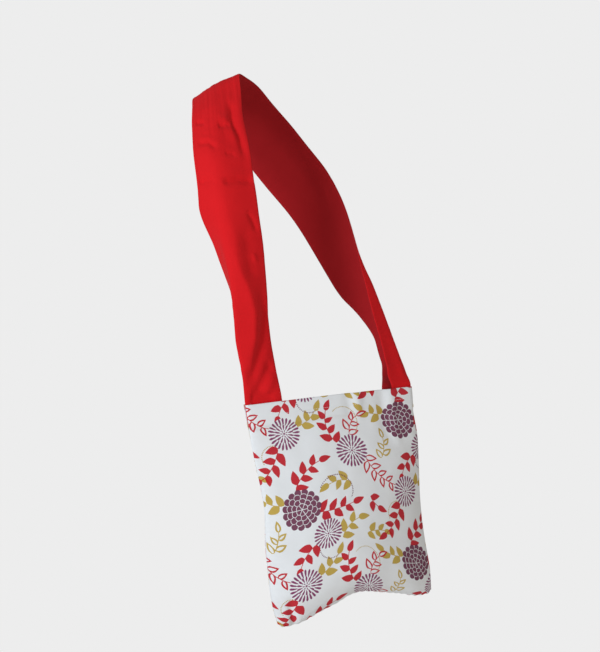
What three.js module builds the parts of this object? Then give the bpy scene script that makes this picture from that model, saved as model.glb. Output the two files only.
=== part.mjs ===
// Cotton messenger bag worn over one shoulder, in millimetres with +Z up.
// The origin is under the strap, where it rests on the shoulder. The front of the pouch faces -Y
// and its mouth runs along X. The strap comes out of both mouth corners and goes round the wearer.
import * as THREE from "three";

// Driving dimensions
const PANEL_WALL = 1.4;
const HEM_DEPTH = 22;
const HEM_EXTRA = 0.8;
const HEM_STEP = 0.1;
const SEAM_GAP = 0.3;
const STRAP_WALL = 1.6;
const FOLD_ROUND = 10;
const GATHER_WAVES = 3;
const PILLOW_POWER = 0.8;
const FOLD_REACH = 3;
const PRINTED_COTTON = 0xdfe4e8;
const RED_COTTON = 0xc8202a;
const CLOTH_ROUGHNESS = 0.9;

// The strap's run behind the wearer is eased between two places along it
const GUIDE_EASE = 24;
const EASE_FROM = 640;
const EASE_TO = 1190;
const EASE_BLEND = 80;

// The pouch hangs in the plane y = POUCH_Y. Its mouth goes from one corner to the other.
const POUCH_Y = -147;
const MOUTH = { leftZ: -512, rightZ: -503, frontSag: 1, backSag: 9 };
const SEWN_END = 0.1;
const SEAM_START = 0.118;
const BASE_START = 0.8;

// Side seams: x of the two edges at a share of the way down
const SIDES = [
  { down: 0.0, left: -14, right: 288 },
  { down: 0.1, left: -7.5, right: 292 },
  { down: 0.25, left: 3, right: 302 },
  { down: 0.38, left: 14, right: 305 },
  { down: 0.5, left: 21, right: 307 },
  { down: 0.62, left: 21.5, right: 311 },
  { down: 0.76, left: 26, right: 319 },
  { down: 0.9, left: 33, right: 329 },
  { down: 1.0, left: 43, right: 332 },
];

// Bottom seam: height at a share of the way across, low at the two ears
const BOTTOM = [
  { across: 0.0, z: -884 },
  { across: 0.04, z: -889 },
  { across: 0.1, z: -888 },
  { across: 0.2, z: -878 },
  { across: 0.32, z: -862 },
  { across: 0.44, z: -848 },
  { across: 0.52, z: -845 },
  { across: 0.64, z: -850 },
  { across: 0.78, z: -858 },
  { across: 0.92, z: -867 },
  { across: 0.97, z: -867 },
  { across: 1.0, z: -861 },
];

// How far the two panels stand off the middle plane, and half the opening of the side seam
const DEPTHS = [
  { down: 0.0, front: 8, back: 7, seam: 3.4 },
  { down: SEWN_END, front: 13, back: 10, seam: 3.4 },
  { down: SEAM_START, front: 14.1, back: 10.8, seam: 0.15 },
  { down: 0.25, front: 22, back: 16, seam: 0.15 },
  { down: 0.45, front: 33, back: 22, seam: 0.15 },
  { down: 0.65, front: 40, back: 26, seam: 0.15 },
  { down: 0.8, front: 42, back: 27, seam: 0.15 },
  { down: 1.0, front: 42, back: 27, seam: 0.15 },
];

// Soft folds of the front panel: place, half width, span downwards and height
const FOLDS = [
  { across: 0.64, half: 0.03, from: -0.1, to: 0.1, rise: 1.6 },
  { across: 0.855, half: 0.03, from: -0.1, to: 0.2, rise: 2.6 },
  { across: 0.79, half: 0.035, from: -0.05, to: 0.16, rise: -2.0 },
  { across: 0.075, half: 0.03, from: 0.86, to: 1.0, rise: -2.2 },
];

// Strap sections from the left mouth corner over the shoulder to the right one: the fold line,
// the edge on the neck side, the edge on the arm side and the height of the gathers
const STRAP = [
  { fold: [-7, -147, -546], neck: [55, -151.5, -541], arm: [30, -143.5, -544], gather: 0 },
  { fold: [-12.7, -147, -508], neck: [49, -151.5, -503], arm: [25, -143.5, -506], gather: 0 },
  { fold: [-17, -145, -455], neck: [43, -143, -461], arm: [10, -120, -464], gather: 0 },
  { fold: [-25, -139, -402], neck: [36, -136, -407], arm: [3, -115, -411], gather: 0 },
  { fold: [-27.5, -132, -330], neck: [32, -132, -336], arm: [-16, -100, -340], gather: 0 },
  { fold: [-33, -125, -264], neck: [29, -126, -267], arm: [-40, -89, -266], gather: 0 },
  { fold: [-41, -117, -192], neck: [21, -121, -195], arm: [-68, -88, -191], gather: 0 },
  { fold: [-44, -99, -121], neck: [16, -106, -121], arm: [-69, -72, -121], gather: 0.3 },
  { fold: [-36, -65, -64], neck: [16, -75, -59], arm: [-62, -43, -70], gather: 0.9 },
  { fold: [-22, -30, -21], neck: [24, -43, -11], arm: [-51, -15, -37], gather: 1.2 },
  { fold: [-3, 2, 3], neck: [33, -15, 20], arm: [-37, 17, -21], gather: 1.2 },
  { fold: [35, 30, -13], neck: [71, 8, 4], arm: [-1, 47, -42], gather: 0.7 },
  { fold: [93, 48, -58], neck: [119, 26, -38], arm: [51, 65, -98], gather: 0 },
  { fold: [153, 46, -112], neck: [168, 28, -90], arm: [107, 64, -164], gather: 0 },
  { fold: [200, 18, -164], neck: [208, 6, -148], arm: [156, 46, -226], gather: 0 },
  { fold: [226, -17, -226], neck: [229, -23, -215], arm: [196, 20, -302], gather: 0 },
  { fold: [241, -50, -293], neck: [236, -54, -284], arm: [226, -4, -362], gather: 0 },
  { fold: [256, -72, -342], neck: [242, -75, -343], arm: [244, -27, -386], gather: 0 },
  { fold: [270, -95, -401], neck: [246, -100, -401], arm: [266, -56, -432], gather: 0 },
  { fold: [280, -115, -447], neck: [249, -121, -447], arm: [265, -82, -466], gather: 0 },
  { fold: [286, -133, -481], neck: [248, -139, -480], arm: [252, -112, -487], gather: 0 },
  { fold: [287.3, -147, -499], neck: [249, -152, -500], arm: [236, -142.5, -500], gather: 0 },
  { fold: [291.5, -147, -538], neck: [253, -152, -540], arm: [240, -142.5, -541], gather: 0 },
];

// Grid steps
const ACROSS_STEPS = 26;
const HEM_STEPS = 3;
const WALL_STEPS = 12;
const BASE_STEPS = 8;
const STRAP_STEPS = 80;
const LEG_STEPS = 7;

// A smooth value between rows that never passes beyond them
function smooth(keys, values, at) {
  const last = keys.length - 1;
  const step = (k) => (values[k + 1] - values[k]) / (keys[k + 1] - keys[k]);
  const slope = (k) => {
    if (k === 0 || k === last) {
      return step(Math.min(k, last - 1));
    }
    const before = step(k - 1);
    const after = step(k);
    return before * after > 0 ? (2 * before * after) / (before + after) : 0;
  };
  let i = 0;
  while (i < last - 1 && keys[i + 1] < at) {
    i += 1;
  }
  const span = keys[i + 1] - keys[i];
  const t = Math.min(Math.max((at - keys[i]) / span, 0), 1);
  const ease = values[i] + (values[i + 1] - values[i]) * t * t * (3 - 2 * t);
  const rise = slope(i) * span * t * (1 - t) * (1 - t);
  const fall = slope(i + 1) * span * t * t * (1 - t);
  return ease + rise - fall;
}

function column(table, key, name, at) {
  return smooth(table.map((row) => row[key]), table.map((row) => row[name]), at);
}

function softStep(from, to, at) {
  const t = Math.min(Math.max((at - from) / (to - from), 0), 1);
  return t * t * (3 - 2 * t);
}

// Rows of the panel grid: the hem, the foot of the sewn strap, the wall below it where the side
// seams are closed, and the rounded base, which turns under
function downRows() {
  const rows = [];
  const hem = HEM_DEPTH / (MOUTH.leftZ - BOTTOM[0].z);
  for (let i = 0; i <= HEM_STEPS; i += 1) {
    rows.push({ down: (hem * i) / HEM_STEPS, turn: 1 });
  }
  rows.push({ down: SEWN_END, turn: 1 });
  for (let i = 0; i <= WALL_STEPS; i += 1) {
    rows.push({ down: SEAM_START + ((BASE_START - SEAM_START) * i) / WALL_STEPS, turn: 1 });
  }
  for (let i = 1; i <= BASE_STEPS; i += 1) {
    const angle = (Math.PI * i) / (2 * BASE_STEPS);
    const down = BASE_START + (1 - BASE_START) * Math.sin(angle);
    rows.push({ down, turn: Math.max(Math.cos(angle), 0) });
  }
  return rows;
}

// A point of a panel's inner face: side is -1 for the front and +1 for the back
function panelPoint(side, across, row) {
  const { down, turn } = row;
  const x0 = column(SIDES, "down", "left", down);
  const x1 = column(SIDES, "down", "right", down);
  const sag = side < 0 ? MOUTH.frontSag : MOUTH.backSag;
  const level = MOUTH.leftZ + (MOUTH.rightZ - MOUTH.leftZ) * across;
  const top = level - sag * Math.sin(Math.PI * across);
  const foot = column(BOTTOM, "across", "z", across);
  const depth = column(DEPTHS, "down", side < 0 ? "front" : "back", down);
  const pillow = Math.pow(Math.max(4 * across * (1 - across), 0), PILLOW_POWER);
  let off = column(DEPTHS, "down", "seam", down) + depth * pillow * turn;
  if (side < 0) {
    for (const fold of FOLDS) {
      const d = (across - fold.across) / fold.half;
      const middle = (fold.from + fold.to) / 2;
      const reach = (fold.to - fold.from) / 2;
      const along = Math.max(1 - Math.pow((down - middle) / reach, 2), 0);
      off += fold.rise * Math.exp(-d * d) * along * Math.min(pillow * FOLD_REACH, 1);
    }
  }
  const y = POUCH_Y + side * Math.max(off, SEAM_GAP / 2);
  return new THREE.Vector3(x0 + (x1 - x0) * across, y, top + (foot - top) * down);
}

// Unit normals of a grid of points, all on the side that "out" points to at the grid's middle
function gridNormals(grid, out) {
  const rows = grid.length;
  const cols = grid[0].length;
  const normals = grid.map((line, i) => line.map((point, j) => {
    const a = grid[Math.max(i - 1, 0)][j];
    const b = grid[Math.min(i + 1, rows - 1)][j];
    const c = line[Math.max(j - 1, 0)];
    const d = line[Math.min(j + 1, cols - 1)];
    const along = new THREE.Vector3().subVectors(b, a);
    const sideways = new THREE.Vector3().subVectors(d, c);
    return along.cross(sideways).normalize();
  }));
  const middle = normals[Math.floor(rows / 2)][Math.floor(cols / 2)];
  if (middle.dot(out) < 0) {
    normals.forEach((line) => line.forEach((n) => n.negate()));
  }
  return normals;
}

// A closed wall between two grids of the same size
function wallBetween(outer, inner) {
  const rows = outer.length;
  const cols = outer[0].length;
  const positions = [];
  const index = [];
  for (const grid of [outer, inner]) {
    grid.forEach((line) => line.forEach((p) => positions.push(p.x, p.y, p.z)));
  }
  const near = (i, j) => i * cols + j;
  const far = (i, j) => rows * cols + i * cols + j;
  const quad = (a, b, c, d) => index.push(a, b, c, a, c, d);
  for (let i = 0; i < rows - 1; i += 1) {
    for (let j = 0; j < cols - 1; j += 1) {
      quad(near(i, j), near(i + 1, j), near(i + 1, j + 1), near(i, j + 1));
      quad(far(i, j), far(i, j + 1), far(i + 1, j + 1), far(i + 1, j));
    }
    quad(near(i, 0), far(i, 0), far(i + 1, 0), near(i + 1, 0));
    quad(near(i, cols - 1), near(i + 1, cols - 1), far(i + 1, cols - 1), far(i, cols - 1));
  }
  for (let j = 0; j < cols - 1; j += 1) {
    quad(near(0, j), near(0, j + 1), far(0, j + 1), far(0, j));
    quad(near(rows - 1, j), far(rows - 1, j), far(rows - 1, j + 1), near(rows - 1, j + 1));
  }
  const at = (k) => new THREE.Vector3(positions[3 * k], positions[3 * k + 1], positions[3 * k + 2]);
  let volume = 0;
  for (let k = 0; k < index.length; k += 3) {
    volume += at(index[k]).dot(at(index[k + 1]).cross(at(index[k + 2])));
  }
  if (volume < 0) {
    for (let k = 0; k < index.length; k += 3) {
      [index[k + 1], index[k + 2]] = [index[k + 2], index[k + 1]];
    }
  }
  const geometry = new THREE.BufferGeometry();
  geometry.setAttribute("position", new THREE.Float32BufferAttribute(positions, 3));
  geometry.setIndex(index);
  geometry.computeVertexNormals();
  return geometry;
}

function panel(side) {
  const rows = downRows();
  const hem = HEM_DEPTH / (MOUTH.leftZ - BOTTOM[0].z);
  const inner = rows.map((row) => {
    const line = [];
    for (let i = 0; i <= ACROSS_STEPS; i += 1) {
      line.push(panelPoint(side, i / ACROSS_STEPS, row));
    }
    return line;
  });
  const normals = gridNormals(inner, new THREE.Vector3(0, side, 0));
  const outer = inner.map((line, i) => line.map((point, j) => {
    const below = softStep(hem * (1 - HEM_STEP), hem * (1 + HEM_STEP), rows[i].down);
    return point.clone().addScaledVector(normals[i][j], PANEL_WALL + HEM_EXTRA * (1 - below));
  }));
  return wallBetween(outer, inner);
}

// The strap's middle face. A section runs from the arm edge round the fold to the neck edge.
function strapGrid() {
  const along = [0];
  for (let k = 1; k < STRAP.length; k += 1) {
    const here = new THREE.Vector3(...STRAP[k].fold);
    along.push(along[k - 1] + here.distanceTo(new THREE.Vector3(...STRAP[k - 1].fold)));
  }
  const guide = (name, at) => {
    const begun = softStep(EASE_FROM, EASE_FROM + EASE_BLEND, at);
    const ended = softStep(EASE_TO - EASE_BLEND, EASE_TO, at);
    const ease = GUIDE_EASE * begun * (1 - ended);
    return new THREE.Vector3(...[0, 1, 2].map((axis) => {
      const values = STRAP.map((row) => row[name][axis]);
      const beside = smooth(along, values, at - ease) + smooth(along, values, at + ease);
      return (smooth(along, values, at) * 2 + beside) / 4;
    }));
  };
  const grid = [];
  const gathers = [];
  for (let i = 0; i <= STRAP_STEPS; i += 1) {
    const at = (along[along.length - 1] * i) / STRAP_STEPS;
    const fold = guide("fold", at);
    const toNeck = guide("neck", at).sub(fold);
    const toArm = guide("arm", at).sub(fold);
    const turn = toNeck.clone().normalize().sub(toArm.clone().normalize());
    const open = Math.min(turn.length() / 2, 1);
    turn.normalize();
    const leg = (edge, way, u) => {
      const length = edge.length();
      const start = Math.min(FOLD_ROUND, length) + Math.max(length - FOLD_ROUND, 0) * open * open;
      const ahead = turn.clone().multiplyScalar(way * start * u * (1 - u) * (1 - u));
      const held = edge.clone().multiplyScalar(u * u * (3 - 2 * u) - u * u * (1 - u));
      return fold.clone().add(ahead).add(held);
    };
    const line = [];
    for (let k = LEG_STEPS; k > 0; k -= 1) {
      line.push(leg(toArm, -1, k / LEG_STEPS));
    }
    for (let k = 0; k <= LEG_STEPS; k += 1) {
      line.push(leg(toNeck, 1, k / LEG_STEPS));
    }
    grid.push(line);
    gathers.push(smooth(along, STRAP.map((row) => row.gather), at));
  }
  const normals = gridNormals(grid, new THREE.Vector3(0, 0, 1));
  return grid.map((line, i) => line.map((point, j) => {
    const wave = Math.sin((2 * Math.PI * GATHER_WAVES * j) / (line.length - 1));
    return point.clone().addScaledVector(normals[i][j], gathers[i] * wave);
  }));
}

function strap() {
  const middle = strapGrid();
  const normals = gridNormals(middle, new THREE.Vector3(0, 0, 1));
  const shifted = (by) => middle.map((line, i) => line.map((point, j) => (
    point.clone().addScaledVector(normals[i][j], by)
  )));
  return wallBetween(shifted(STRAP_WALL / 2), shifted(-STRAP_WALL / 2));
}

function node(name, geometry, colour) {
  const material = new THREE.MeshStandardMaterial({ color: colour, roughness: CLOTH_ROUGHNESS });
  const mesh = new THREE.Mesh(geometry, material);
  mesh.name = name;
  return mesh;
}

const bag = new THREE.Group();
bag.name = "messenger_bag";
bag.add(node("front_panel", panel(-1), PRINTED_COTTON));
bag.add(node("back_panel", panel(1), PRINTED_COTTON));
bag.add(node("strap", strap(), RED_COTTON));

export default bag;
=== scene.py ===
# Cotton messenger bag: an open printed pouch on a wide red strap, in the shape it takes when worn.
# Sizes are in metres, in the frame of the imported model: +Z up, the pouch's front faces -Y.
import math
from collections import namedtuple

import bmesh
import bpy
from mathutils import Matrix, Vector, noise


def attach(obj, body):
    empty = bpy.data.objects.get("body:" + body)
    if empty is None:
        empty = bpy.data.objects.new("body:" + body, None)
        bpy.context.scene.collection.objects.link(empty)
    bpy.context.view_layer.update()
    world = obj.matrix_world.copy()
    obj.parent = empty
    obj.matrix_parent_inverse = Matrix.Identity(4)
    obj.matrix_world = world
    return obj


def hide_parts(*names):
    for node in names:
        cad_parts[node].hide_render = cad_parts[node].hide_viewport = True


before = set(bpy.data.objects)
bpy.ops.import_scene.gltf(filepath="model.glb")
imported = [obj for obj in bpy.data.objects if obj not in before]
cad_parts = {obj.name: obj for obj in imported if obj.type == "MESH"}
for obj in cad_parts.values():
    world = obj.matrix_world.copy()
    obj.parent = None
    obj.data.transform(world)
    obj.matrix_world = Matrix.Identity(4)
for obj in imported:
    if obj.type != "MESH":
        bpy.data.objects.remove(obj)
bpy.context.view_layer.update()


def table(columns, rows):
    """Rows with named columns."""
    row_type = namedtuple("Row", columns)
    return tuple(row_type(*row) for row in rows)


# Sides of the pouch
FRONT = -1
BACK = 1

# Driving sizes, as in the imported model
PANEL_WALL = 0.0014
HEM_DEPTH = 0.022
HEM_EXTRA = 0.0008
SEAM_GAP = 0.0003
STRAP_WALL = 0.0016
FOLD_ROUND = 0.010
PILLOW_POWER = 0.8
FOLD_REACH = 3
POUCH_Y = -0.147
MOUTH_LEFT_Z = -0.512
BACK_SAG = 0.009
BASE_START = 0.8

# The strap's plain run round the back is eased between two places along it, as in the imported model
GUIDE_EASE = 0.024
EASE_FROM = 0.64
EASE_TO = 1.19
EASE_BLEND = 0.08

# Up to 4 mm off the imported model: the mouth bows up, the strap's ends reach deeper into the seams
MOUTH_RIGHT_Z = -0.5015
FRONT_SAG = -0.0026
LEFT_TUCK = 0.003
RIGHT_TUCK = 0.0008

# Flat cuts of the cloth, width and length, how far off the back's cut lies on the printed cloth,
# and the name of the UV map that holds the cuts
PANEL_CUT = (0.306, 0.388)
STRAP_CUT = (0.098, 1.31)
BACK_CUT_SHIFT = 0.127
CUT_MAP = "cut"

# Grid steps of the cloth, and the share of a panel's rows above its rounded base
PANEL_STEPS = (112, 140)
STRAP_STEPS = (60, 400)
BASE_SHARE = 0.76

# Shares of the wall left at the outermost grid steps, and of the hem's depth over which it thins out
SEAM_TAPER = (0.35, 0.8)
STRAP_TAPER = (0.4, 0.85)
HEM_FADE = (0.93, 1.05)

# Side seams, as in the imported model: both edges at a share of the way down
SIDES = table("down left right", (
    (0.0, -0.014, 0.288),
    (0.1, -0.0075, 0.292),
    (0.25, 0.003, 0.302),
    (0.38, 0.014, 0.305),
    (0.5, 0.021, 0.307),
    (0.62, 0.0215, 0.311),
    (0.76, 0.026, 0.319),
    (0.9, 0.033, 0.329),
    (1.0, 0.043, 0.332),
))

# Bottom seam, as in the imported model: its height at a share of the way across
BOTTOM = table("across height", (
    (0.0, -0.884),
    (0.04, -0.889),
    (0.1, -0.888),
    (0.2, -0.878),
    (0.32, -0.862),
    (0.44, -0.848),
    (0.52, -0.845),
    (0.64, -0.850),
    (0.78, -0.858),
    (0.92, -0.867),
    (0.97, -0.867),
    (1.0, -0.861),
))

# How far both panels stand out, and half the opening of the side seam at a share of the way down.
# The seam closes 3 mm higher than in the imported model.
DEPTHS = table("down front back seam", (
    (0.0, 0.008, 0.007, 0.0034),
    (0.1, 0.013, 0.010, 0.0034),
    (0.109, 0.0136, 0.0104, 0.00015),
    (0.25, 0.022, 0.016, 0.00015),
    (0.45, 0.033, 0.022, 0.00015),
    (0.65, 0.040, 0.026, 0.00015),
    (0.8, 0.042, 0.027, 0.00015),
    (1.0, 0.042, 0.027, 0.00015),
))

# Soft folds of the front: share across, half width, top and foot as shares of the way down, height
FRONT_FOLDS = table("across half top foot height", (
    (0.64, 0.026, -0.1, 0.14, 0.0026),
    (0.58, 0.026, -0.08, 0.15, -0.0014),
    (0.855, 0.03, -0.1, 0.28, 0.0026),
    (0.79, 0.032, -0.05, 0.28, -0.0022),
    (0.097, 0.022, 0.85, 1.06, -0.0062),
))

# Slow waves of the panels, full at a margin from the seams and from the mouth
PANEL_WAVES = table("height scale", ((0.0022, 14), (0.0010, 31)))
WAVE_SEED = 3.0
WAVE_MARGIN = 0.012
WAVE_MOUTH_MARGIN = 0.05

# Puckers along the side seams, and rucks along the foot that are as long as a share of the width.
# Both are held flat at the seams themselves.
PUCKER_HEIGHT = 0.00055
PUCKER_LENGTH = 0.0125
PUCKER_REACH = 0.011
PUCKER_MOUTH_MARGIN = 0.03
PUCKER_SCALES = (40, 6)
PUCKER_SEED = 9.0
RUCK_HEIGHT = 0.0010
RUCK_SHARE = 0.045
RUCK_REACH = 0.012
RUCK_SCALE = 13
RUCK_SEEDS = (4.0, 5.0)
SEAM_HOLD = 0.003
UNEVENNESS = 2.5

# Strap sections from the left mouth corner over the top to the right one: the line of its fold,
# its front edge, its back edge and the height of its gathers. The front edge near the right corner
# is 2 to 5 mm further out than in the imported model, and the rest is the same.
STRAP = table("fold front back gathers", (
    ((-0.007, -0.147, -0.546), (0.055, -0.1515, -0.541), (0.030, -0.1435, -0.544), 0),
    ((-0.0127, -0.147, -0.508), (0.049, -0.1515, -0.503), (0.025, -0.1435, -0.506), 0),
    ((-0.017, -0.145, -0.455), (0.043, -0.143, -0.461), (0.010, -0.120, -0.464), 0),
    ((-0.025, -0.139, -0.402), (0.036, -0.136, -0.407), (0.003, -0.115, -0.411), 0),
    ((-0.0275, -0.132, -0.330), (0.032, -0.132, -0.336), (-0.016, -0.100, -0.340), 0),
    ((-0.033, -0.125, -0.264), (0.029, -0.126, -0.267), (-0.040, -0.089, -0.266), 0),
    ((-0.041, -0.117, -0.192), (0.021, -0.121, -0.195), (-0.068, -0.088, -0.191), 0),
    ((-0.044, -0.099, -0.121), (0.016, -0.106, -0.121), (-0.069, -0.072, -0.121), 0.0003),
    ((-0.036, -0.065, -0.064), (0.016, -0.075, -0.059), (-0.062, -0.043, -0.070), 0.0009),
    ((-0.022, -0.030, -0.021), (0.024, -0.043, -0.011), (-0.051, -0.015, -0.037), 0.0012),
    ((-0.003, 0.002, 0.003), (0.033, -0.015, 0.020), (-0.037, 0.017, -0.021), 0.0012),
    ((0.035, 0.030, -0.013), (0.071, 0.008, 0.004), (-0.001, 0.047, -0.042), 0.0007),
    ((0.093, 0.048, -0.058), (0.119, 0.026, -0.038), (0.051, 0.065, -0.098), 0),
    ((0.153, 0.046, -0.112), (0.168, 0.028, -0.090), (0.107, 0.064, -0.164), 0),
    ((0.200, 0.018, -0.164), (0.208, 0.006, -0.148), (0.156, 0.046, -0.226), 0),
    ((0.226, -0.017, -0.226), (0.229, -0.023, -0.215), (0.196, 0.020, -0.302), 0),
    ((0.241, -0.050, -0.293), (0.2345, -0.054, -0.284), (0.226, -0.004, -0.362), 0),
    ((0.256, -0.072, -0.342), (0.2370, -0.076, -0.343), (0.244, -0.027, -0.386), 0),
    ((0.270, -0.095, -0.401), (0.2420, -0.101, -0.401), (0.266, -0.056, -0.432), 0),
    ((0.280, -0.115, -0.447), (0.2466, -0.1215, -0.447), (0.265, -0.082, -0.466), 0),
    ((0.286, -0.133, -0.481), (0.2450, -0.1395, -0.480), (0.252, -0.112, -0.487), 0),
    ((0.2873, -0.147, -0.499), (0.249, -0.152, -0.500), (0.236, -0.1425, -0.500), 0),
    ((0.2915, -0.147, -0.538), (0.253, -0.152, -0.540), (0.240, -0.1425, -0.541), 0),
))

# Long ridge of the strap's front run on its flat cut: its left foot, its crest line and its height,
# then how round the crest is and how hollow the left side
STRAP_RIDGE = table("along foot crest height", (
    (0.050, 0.036, 0.050, 0.0),
    (0.085, 0.036, 0.052, 0.0040),
    (0.108, 0.036, 0.0562, 0.0074),
    (0.144, 0.036, 0.066, 0.0106),
    (0.180, 0.036, 0.068, 0.0110),
    (0.215, 0.034, 0.062, 0.0100),
    (0.255, 0.026, 0.050, 0.0086),
    (0.284, 0.018, 0.0475, 0.0070),
    (0.307, 0.010, 0.0497, 0.0056),
    (0.340, 0.002, 0.0463, 0.0040),
    (0.382, 0.0, 0.043, 0.0022),
    (0.450, 0.0, 0.040, 0.0),
))
RIDGE_ROUND = 0.002
RIDGE_POWER = 1.5

# Folds of the strap on its flat cut: points along and across, height, half width. A fold ends at
# some half widths, and fades over a share of its length at both ends.
STRAP_FOLDS = table("points height half", (
    (
        (
            (0.235, 0.0850), (0.183, 0.0890), (0.140, 0.0790),
            (0.111, 0.0650), (0.082, 0.0530), (0.056, 0.0440),
        ),
        -0.0060, 0.0092,
    ),
    (((0.330, 0.0690), (0.268, 0.0670), (0.236, 0.0710)), -0.0024, 0.012),
    (((0.110, 0.0920), (0.078, 0.0720), (0.048, 0.0540)), -0.0034, 0.0075),
    (((0.090, 0.0930), (0.062, 0.0800), (0.046, 0.0700)), 0.0022, 0.008),
    (((0.046, 0.0440), (0.044, 0.0600), (0.042, 0.0900)), -0.0032, 0.011),
    (
        (
            (0.548, 0.0710), (0.520, 0.0777), (0.496, 0.0775),
            (0.476, 0.0830), (0.456, 0.0858), (0.424, 0.0880),
        ),
        -0.0042, 0.0062,
    ),
    (((0.520, 0.0540), (0.500, 0.0640), (0.478, 0.0740), (0.452, 0.0780)), 0.0022, 0.009),
    (((0.507, 0.0060), (0.503, 0.0270)), -0.0026, 0.0042),
    (((0.494, 0.0480), (0.493, 0.0720)), -0.0034, 0.0048),
    (((0.460, 0.0080), (0.4634, 0.0287), (0.450, 0.0440)), -0.0028, 0.0046),
    (((0.441, 0.0540), (0.440, 0.0720)), -0.0020, 0.0036),
    (((0.394, 0.0420), (0.3986, 0.0690), (0.398, 0.1020)), -0.0042, 0.0054),
    (((0.391, 0.0010), (0.396, 0.0170), (0.3995, 0.0340)), -0.0028, 0.0046),
    (((0.350, 0.0780), (0.333, 0.0857), (0.314, 0.0890)), -0.0022, 0.0044),
    (((0.281, 0.0765), (0.266, 0.0820)), 0.0016, 0.0034),
    (((0.700, 0.0200), (0.790, 0.0450), (0.880, 0.0500), (0.960, 0.0420)), 0.0040, 0.020),
    (((0.740, 0.0700), (0.830, 0.0780), (0.930, 0.0740)), -0.0030, 0.012),
    (((1.050, 0.1000), (1.120, 0.1000), (1.200, 0.1000), (1.285, 0.1000)), 0.0042, 0.020),
    (((1.236, 0.0500), (1.236, 0.0750), (1.236, 0.1200)), 0.0034, 0.014),
))
FOLD_CUTOFF = 2.5
FOLD_FADE = 0.22

# Noise that makes the strap uneven: scale across, scale along, seed
Relief = namedtuple("Relief", "across along seed")
RUFFLES = Relief(95, 9, 2.0)
FINE_RUFFLES = Relief(210, 14, 7.0)
CRUMPLES = Relief(26, 85, 4.0)
CRUMPLED_SPOTS = Relief(20, 12, 8.0)
SLOW_WAVES = Relief(22, 15, 1.0)
FINE_RUFFLE_SHARE = 0.5
RUFFLE_SHARE = 0.8
CRUMPLE_HEIGHT = 0.0011
SLOW_WAVE_HEIGHT = 0.0009

# Distances from the strap's ends over which it starts to crumple
SEWN_REACH = (0.030, 0.075)

# Sewing: the stitches, the hem's row below the mouth and the strap's rows inside its edges
STITCH_GAP = 0.0034
STITCH_LENGTH = 0.0027
STITCH_WIDTH = 0.0007
HEM_ROW = 0.0195
STRAP_ROW = 0.004

# The printed repeat in millimetres: width and height, each column dropped by half
REPEAT_WIDTH = 210.0
REPEAT_HEIGHT = 250.0

# Leafy branches: place across and up, turn, side of the bend, bend radius, length, leaf, hollow
BRANCH = "across up turn flip bend length leaf hollow"
RED_BRANCHES = table(BRANCH, (
    (90, 58, -14, 1, 130, 84, 27, 0),
    (40, 172, 250, -1, 100, 66, 26, 0),
    (190, 132, 292, 1, 85, 78, 24, 1),
    (138, 168, 118, -1, 70, 62, 25, 0),
    (56, 106, 58, -1, 80, 62, 26, 0),
    (78, 6, 208, 1, 60, 44, 26, 0),
    (188, 62, 302, 1, 60, 22, 25, 0),
    (168, 180, 74, -1, 50, 40, 24, 1),
))
MUSTARD_SPRIGS = table(BRANCH, (
    (28, 82, 178, -1, 70, 40, 25, 0),
    (84, 204, 22, 1, 75, 42, 25, 0),
    (150, 96, 158, 1, 60, 42, 25, 0),
    (12, 8, 60, 1, 60, 38, 22, 1),
    (176, 3, 18, -1, 60, 40, 22, 0),
    (128, 6, 56, -1, 60, 42, 26, 0),
))

# Flower heads: place across and up, turn, radius
FLOWER = "across up turn radius"
DAISIES = table(FLOWER, (
    (166, 148, 8, 29),
    (56, 196, 20, 27),
    (102, 18, 5, 25),
))
ROSETTES = table(FLOWER, ((60, 70, 0, 34),))

# Dotted tendrils: place across and up, turn, side of the bend, bend radius, length, dot radius
TENDRIL = "across up turn flip bend length dot"
PLUM_TENDRILS = table(TENDRIL, (
    (96, 96, 62, -1, 34, 120, 1.1),
    (100, 20, 200, 1, 26, 86, 1.05),
))
MUSTARD_TENDRILS = table(TENDRIL, (
    (180, 180, 40, 1, 30, 100, 0.95),
    (14, 150, 120, -1, 22, 70, 0.95),
))

# Ink edges in millimetres: how soft they are, and how far leaves and petals are drawn in
SOFT_EDGE = 0.35
INK_INSET = 0.2

# Leaves: gap and stagger on the stem, size lost along it, lean ahead and aside, widths as shares,
# then in millimetres the start off the stem, the outline of a hollow leaf, half the stem, and how
# far outside a leaf the places off the branch count as
LEAF_GAP = 0.78
LEAF_STAGGER = 0.22
LEAF_SHRINK = 0.3
LEAF_AHEAD = 0.62
LEAF_ASIDE = 0.785
LEAF_WIDTH = 0.72
TIP_SIZE = 0.85
TIP_WIDTH = 0.68
LEAF_START = 1.0
LEAF_SHIFT = 1.2
HOLLOW_LINE = 2.9
STEM_HALF = 0.62
OFF_BRANCH = 9.0

# Petals of the daisy: start and end in shares of its radius, number, width. Its heart and its bare
# ground are such shares too, and the powers give a petal its round end and its swell.
DAISY_RINGS = table("start end petals width", (
    (0.50, 1.0, 24, 0.098),
    (0.22, 0.58, 14, 0.085),
    (0.08, 0.23, 7, 0.055),
))
DAISY_HEART = 0.065
DAISY_GROUND = 0.96
PETAL_END_POWER = 5.0
PETAL_SWELL_POWER = 0.6

# Frills of the rosette: size as a share of its radius, number of petals. The bare lines between
# petals and frills are in millimetres.
ROSETTE_FRILLS = table("size petals", ((1.0, 15), (0.77, 12), (0.54, 9), (0.31, 6)))
FRILL_BOW = 0.17
PETAL_LINE = 0.45
FRILL_LINE = 0.9
ROSETTE_GROUND = 0.92

# Tendrils: how fast they curl in, and the gap from dot to dot in dot radii
TENDRIL_CURL = 0.07
DOT_GAP = 3.3

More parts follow.
